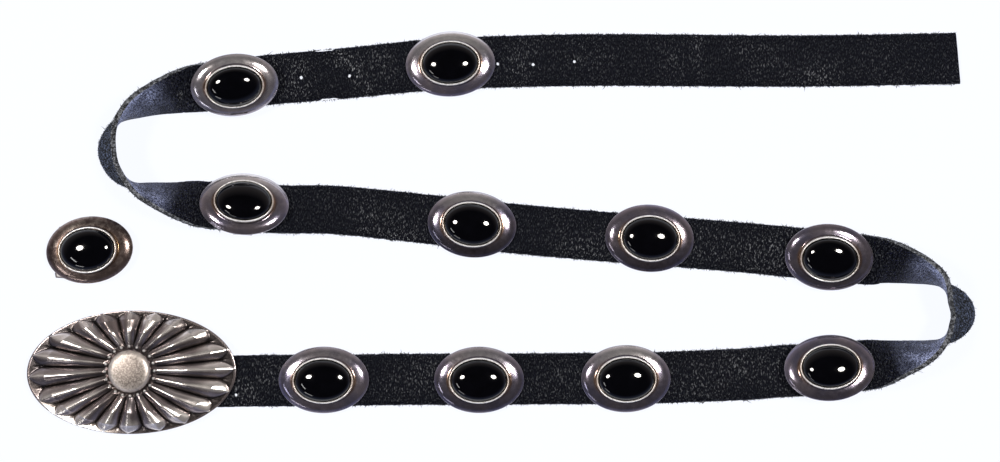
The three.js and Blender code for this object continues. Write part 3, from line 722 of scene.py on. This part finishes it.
for i in range(20):
    turn = math.radians(i * 18)
    spoke = Vector((math.cos(turn), math.sin(turn), 0)) * bead_ring
    place_bead = Matrix.Translation(spoke + boss_shift + Vector((0, 0, boss_foot + 1.1)))
    made = bmesh.ops.create_uvsphere(
        bm, u_segments=14, v_segments=10, radius=bead_diameter / 2, matrix=place_bead)
    for corner in made["verts"]:
        corner[wear_and_light_layer] = 0.75
    for face in {face for corner in made["verts"] for face in corner.link_faces}:
        face.material_index = 2
# The hook on its back: a flat tongue and the leg that carries it.
for middle, size in (((-27.9, 0, hook_bottom + 0.7), (9.0, hook_width, 1.4)),
                     ((-24.1, 0, -0.6), (1.4, hook_width, 5.6))):
    block = Matrix.Translation(middle) @ Matrix.Diagonal((*size, 1.0))
    for corner in bmesh.ops.create_cube(bm, size=1.0, matrix=block)["verts"]:
        corner[wear_and_light_layer] = 0.5
bmesh.ops.transform(bm, matrix=buckle_frame, verts=bm.verts)


def frame_on_strap(distance):
    """The frame of a piece on the strap, in mm: X along the strap, Z out of its grain side."""
    middle, right, up, half = strap_section(distance)
    ahead = strap_section(min(distance + loop_width / 2, way_length))[0]
    behind = strap_section(distance - loop_width / 2)[0]
    along = (ahead - behind).normalized()
    left = -right
    left = (left - along * left.dot(along)).normalized()
    top = along.cross(left)
    turned = Matrix((along, left, top)).transposed().to_4x4()
    return Matrix.Translation(middle) @ turned


buckle_loop_half = 11.9
loop_frame = Matrix.Scale(MM, 4) @ frame_on_strap(loop_lift_places[-1] * way_length)
strap_loop(bm, wear_and_light_layer, loop_frame, 0.5, buckle_loop_half, buckle_loop_half, -1.5, 2.3)
bmesh.ops.recalc_face_normals(bm, faces=bm.faces)
buckle = object_from(bm, "buckle_plate", [buckle_silver, boss_silver, fine_silver])
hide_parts("buckle")

# Conchos
# Oval silver plates, domed in a die, each with a strip of bezel soldered round its middle and a strap loop
# soldered to its back. Handling has polished the bezel's lip and the rim, and left a brown patina between.
plate_half = (19.3, 14.1)
bezel_half = (13.0, 9.75)
plate_dome = 2.6
plate_edge = 0.5
bezel_height = 2.4
# The usual level of a plate's open face, which make_concho replaces by each plate's own painted light and
# shade.
open_face_level = 0.5
plate_silver = silver(
    "worn_patinated_silver", "#ece9ea", ("#948b94", "#78758a"), "#1b171b", (0.12, 0.18), 0.05, 0.05, film=0.2)
# The loose one lay about by itself and has browned more.
brown_silver = silver(
    "brown_patinated_silver", "#e4dcd2", ("#8b7a75", "#5f514f"), "#1d1716", (0.16, 0.24), 0.1, 0.13, 1.8)
# Onyx, dyed through and polished like glass, with a faint unevenness in its black.
stone_black, tree, shader = new_material("polished_black_onyx")
place = add_node(tree, "ShaderNodeTexCoord").outputs["Object"]
veil = noise_of(tree, place, 4.0, 4.0)
tree.links.new(mixed(tree, veil, "#020203", "#06060a"), shader.inputs["Base Color"])
tree.links.new(ranged(tree, veil, 0.3, 0.7, 0.03, 0.07), shader.inputs["Roughness"])
shader.inputs["IOR"].default_value = 1.54

plate_sides = 96
stone_sides = 72
stone_half = (11.95, 8.7)
stone_girdle = 1.5
stone_dome = 3.9


def oval(half, height, sides):
    turns = [math.tau * i / sides for i in range(sides)]
    return [Vector((half[0] * math.cos(turn), half[1] * math.sin(turn), height)) for turn in turns]


def plate_rings(rim):
    """Rings of a plate from the middle of its back over its rim to the bezel: half sizes, height and wear."""
    seat = rim + plate_dome
    rings = []

    def between(out):
        return tuple(b + (p - b) * out for b, p in zip(bezel_half, plate_half))

    def drop(out):
        return (0.42 * out + 0.58 * out ** 3.8) * (plate_dome - plate_edge)

    for out in (0.0, 0.25, 0.5, 0.75, 0.92):
        rings.append((between(out), seat - sheet_thickness - drop(out), 0.35))
    rings.append((between(0.955), rim, 0.45))
    rings.append((between(0.985), rim + 0.02, 0.6))
    rings.append((between(1.0), rim + 0.12, 0.7))
    edge = seat - drop(0.95)
    rings.append((between(1.0), edge - 0.36, 0.62))
    rings.append((between(0.992), edge - 0.2, 0.62))
    rings.append((between(0.975), edge - 0.08, 0.6))
    for out in (0.95, 0.9, 0.85, 0.8, 0.7, 0.6, 0.5, 0.4, 0.3, 0.2, 0.12):
        rings.append((between(out), seat - drop(out), open_face_level))
    rings.append((between(0.06), seat - drop(0.06), 0.35))
    rings.append((between(0.025), seat + 0.08, 0.1))
    rings.append((between(0.008), seat + 0.3, 0.15))
    # The bezel, up its outside, over its lip and down to the seat: how far in, height and wear. Inside the
    # lip it is dark down to the seat, blackened and partly painted shade for the gap round the stone.
    for inwards, up_share, wear_and_light in (
            (0.03, 0.35, 0.3), (0.08, 0.65, 0.6), (0.16, 0.85, 0.95), (0.30, 0.97, 1.0), (0.47, 1.0, 1.0),
            (0.64, 0.98, 1.0), (0.77, 0.9, 0.9), (0.84, 0.75, 0.2), (0.80, 0.5, 0.05), (0.80, 0.0, 0.05)):
        half = (bezel_half[0] - inwards, bezel_half[1] - inwards)
        rings.append((half, seat + bezel_height * up_share, wear_and_light))
    return rings, seat


# Each concho on the strap: its place, its rim's height over the strap's middle, its loop's half width and
# floor, how far its plate sits off its loop (x and y, mm), its own share of the usual length and width, and
# how bright its plate's open face is towards the back edge, at its sides and towards the front edge of the
# table:
# the back lighter and the front darker, painted light and shade.
concho_rows = [
    (0.1992, 1.519, 11.361, -1.518, 0.38, -0.32, 1.000, 0.992, 1.00, 0.55, 0.46),
    (0.2828, 4.841, 11.049, -1.913, -0.33, 0.37, 0.962, 0.950, 0.80, 0.62, 0.60),
    (0.4040, 3.074, 11.205, -1.892, 0.10, 0.10, 0.981, 0.980, 1.00, 0.50, 0.38),
    (0.4926, 1.527, 10.954, -1.534, 0.20, -0.17, 0.992, 1.009, 0.85, 0.28, 0.12),
    (0.5626, 1.547, 11.020, -1.529, -0.20, 0.84, 0.990, 1.029, 0.50, 0.32, 0.15),
    (0.6319, 2.796, 11.322, -1.745, 0.35, 0.17, 0.973, 1.031, 0.46, 0.34, 0.22),
    (0.7503, 5.910, 11.516, -1.761, 0.05, -0.39, 0.990, 1.003, 0.50, 0.46, 0.26),
    (0.8291, 1.589, 11.341, -1.515, 0.10, 0.00, 1.000, 1.026, 0.90, 0.36, 0.28),
    (0.8856, 1.508, 11.321, -1.506, -0.80, -0.13, 1.005, 1.015, 0.72, 0.34, 0.25),
    (0.9467, 1.500, 11.355, -1.500, -0.30, 0.35, 1.010, 1.018, 0.62, 0.50, 0.34),
]


def make_concho(label, place_frame, rim, loop_turn, loop_sizes, fit, tones, material):
    """A plate with its loop and its stone, in the frame of their place on the strap or the table, in mm."""
    bm = bmesh.new()
    wear_and_light_layer = bm.verts.layers.float.new("wear_and_light")
    bezel_glint_layer = bm.verts.layers.float.new("bezel_glint")
    rings, seat = plate_rings(rim)
    half, height, wear_and_light = rings[0]
    ring = start_disc(bm, oval(half, height, plate_sides), Vector((0, 0, height)))
    for corner in bm.verts:
        corner[wear_and_light_layer] = wear_and_light
    to_table = place_frame.to_3x3()
    for half, height, wear_and_light in rings[1:]:
        ring = extrude_ring(bm, ring, oval(half, height, plate_sides))
        for corner in ring:
            corner[wear_and_light_layer] = wear_and_light
            if wear_and_light == open_face_level:
                # The open face: painted lighter towards the back edge and darker towards the front, painted
                # light and shade, and golden at the bezel's two ends, a painted highlight.
                spoke = (to_table @ Vector((corner.co.x / half[0], corner.co.y / half[1], 0))).normalized()
                towards = tones[0] if spoke.y > 0 else tones[2]
                corner[wear_and_light_layer] = tones[1] + (towards - tones[1]) * abs(spoke.y) ** 1.5
                # Painted golden highlight at the bezel's two ends, where the lamps' reflection falls.
                at_bezel = 1 - smoothstep(half[0], bezel_half[0] + 0.6, bezel_half[0] + 1.4)
                corner[bezel_glint_layer] = at_bezel * abs(spoke.x) ** 4 * 0.6
    close_ring(bm, ring, Vector((0, 0, seat)))
    for face in bm.faces:
        if face.calc_center_median().z > seat + 0.5:
            face.material_index = 1
    placed = Matrix.Scale(MM, 4) @ place_frame
    shift_x, shift_y, share_x, share_y, turn = fit
    fitted = Matrix.Translation(Vector((shift_x, shift_y, 0)) * MM) @ placed
    fitted = fitted @ Matrix.Rotation(math.radians(turn), 4, "Z") @ Matrix.Diagonal((share_x, share_y, 1, 1))
    bmesh.ops.transform(bm, matrix=fitted, verts=bm.verts)
    strap_loop(bm, wear_and_light_layer, placed @ loop_turn, *loop_sizes)
    bmesh.ops.recalc_face_normals(bm, faces=bm.faces)
    plate = object_from(bm, f"concho_{label}_plate", [material, fine_silver])
    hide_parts(f"concho_{label}")

    bm = bmesh.new()
    base = seat + 0.3
    girdle = base + stone_girdle
    foot_half = (stone_half[0] * 0.97, stone_half[1] * 0.97)
    ring = start_disc(bm, oval(foot_half, base, stone_sides), Vector((0, 0, base)))
    ring = extrude_ring(bm, ring, oval(stone_half, base + 0.3, stone_sides))
    for turn in range(0, 88, 6):
        a = math.radians(turn)
        half = (stone_half[0] * math.cos(a), stone_half[1] * math.cos(a))
        ring = extrude_ring(bm, ring, oval(half, girdle + stone_dome * math.sin(a), stone_sides))
    close_ring(bm, ring, Vector((0, 0, girdle + stone_dome)))
    bmesh.ops.transform(bm, matrix=fitted, verts=bm.verts)
    bmesh.ops.recalc_face_normals(bm, faces=bm.faces)
    stone = object_from(bm, f"stone_{label}_cabochon", [stone_black])
    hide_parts(f"stone_{label}")


for number, row in enumerate(concho_rows, 1):
    place_share, rim, loop_half, loop_floor, shift_x, shift_y, share_x, share_y, *tones = row
    leg = loop_half + loop_thickness / 2
    make_concho(f"{number:02d}", frame_on_strap(place_share * way_length), rim, Matrix.Identity(4),
                (0.5, leg, leg, loop_floor, rim + 1.6), (shift_x, shift_y, share_x, share_y, 0.0), tones,
                plate_silver)
# The loose concho lies on its loop, which was bent askew when it was drawn off the strap.
loose_place = (-179.1, -7.6, 1.0 + floor_gap)
loose_turn = math.radians(2.0)
loose_rim = 3.0
loop_turn = Matrix.Translation((-9.65, -1.11, 0)) @ Matrix.Rotation(math.radians(-6), 4, "Z")
make_concho("11_loose", Matrix.Translation(loose_place) @ Matrix.Rotation(loose_turn, 4, "Z"), loose_rim,
            loop_turn, (1.0, 10.6, 7.77, 0.0, loose_rim + 0.8, 0.15), (1.15, -0.15, 0.971, 1.02, 6.0),
            (0.56, 0.48, 0.46), brown_silver)

# Table and light
# A white sweep lit from below and all round, as a light table is, with two round lamps high at the left and
# right whose reflections stand in every stone, and two narrow strips low at the front left.
table_white, tree, shader = new_material("opal_light_table")
place = add_node(tree, "ShaderNodeTexCoord").outputs["Object"]
cloudy = add_node(tree, "ShaderNodeTexNoise", None, {"Vector": place, "Scale": 3.0})
tree.links.new(mixed(tree, cloudy.outputs[0], "#404245", "#484a4d"), shader.inputs["Base Color"])
shader.inputs["Roughness"].default_value = 0.9
shader.inputs["Specular IOR Level"].default_value = 0.1
shader.inputs["Emission Color"].default_value = linear("#f3f6ff")
shader.inputs["Emission Strength"].default_value = 1.02
bm = bmesh.new()
bmesh.ops.create_grid(bm, x_segments=1, y_segments=1, size=4.0)
floor_mesh = bpy.data.meshes.new("floor")
bm.to_mesh(floor_mesh)
bm.free()
floor_mesh.materials.append(table_white)
floor = bpy.data.objects.new("floor", floor_mesh)
bpy.context.scene.collection.objects.link(floor)


def lamp(name, place, aim, size, power, shape="DISK", size_y=None):
    light = bpy.data.lights.new(name, "AREA")
    light.shape = shape
    light.size = size
    if size_y:
        light.size_y = size_y
    light.energy = power
    made = bpy.data.objects.new(name, light)
    made.location = place
    made.rotation_euler = (Vector(aim) - Vector(place)).to_track_quat("-Z", "Y").to_euler()
    bpy.context.scene.collection.objects.link(made)
    return made


left_lamp = lamp("left_lamp", (-0.64, 0.1, 1.1), (0, 0, 0), 0.22, 9.0)
right_lamp = lamp("right_lamp", (0.47, 0.1, 1.1), (0, 0, 0), 0.22, 9.0)
for made in (left_lamp, right_lamp):
    made.data.color = linear("#fff9f1")[:3]
lamp("left_strip", (-0.68, -0.40, 0.65), (0, 0, 0), 0.27, 0.4, "RECTANGLE", 0.05)
lamp("front_strip", (-0.54, -0.75, 0.43), (0, 0, 0), 0.27, 0.3, "RECTANGLE", 0.05)

world = bpy.data.worlds.new("studio")
bpy.context.scene.world = world
world.use_nodes = True
tree = world.node_tree
tree.nodes.clear()
place = add_node(tree, "ShaderNodeTexCoord")
parts = add_node(tree, "ShaderNodeSeparateXYZ", None, {0: place.outputs["Generated"]})
to_back = add_node(tree, "ShaderNodeMapRange", {"interpolation_type": "SMOOTHSTEP"}, {
    "Value": parts.outputs[1], "From Min": -0.5, "From Max": 0.6})
front_rise = add_node(tree, "ShaderNodeMapRange", {"interpolation_type": "SMOOTHSTEP"}, {
    "Value": parts.outputs[2], "From Min": 0.15, "From Max": 0.55})
front = mixed(tree, front_rise.outputs[0], (0.18, 0.21, 0.35, 1), (0.012, 0.012, 0.018, 1))
back_rise = ranged(tree, parts.outputs[2], 0.25, 0.74)
back = mixed(tree, back_rise, (0.36, 0.32, 0.32, 1), (0.012, 0.012, 0.014, 1))
# A bright band low along the back wall, which whitens the bezels' lips and the far rims.
low_band = add_node(tree, "ShaderNodeMapRange", {"interpolation_type": "SMOOTHSTEP"}, {
    "Value": parts.outputs[2], "From Min": 0.06, "From Max": 0.22})
back_wall = mixed(tree, low_band.outputs[0], (0.85, 0.87, 1.0, 1), back)
dome = mixed(tree, to_back.outputs[0], front, back_wall)
seen = add_node(tree, "ShaderNodeLightPath")
sky = mixed(tree, seen.outputs["Is Camera Ray"], dome, (0.95, 0.96, 1.0, 1))
background = add_node(tree, "ShaderNodeBackground", None, {"Color": sky, "Strength": 1.0})
output = add_node(tree, "ShaderNodeOutputWorld")
tree.links.new(background.outputs[0], output.inputs[0])
bpy.context.scene.view_settings.view_transform = "Standard"
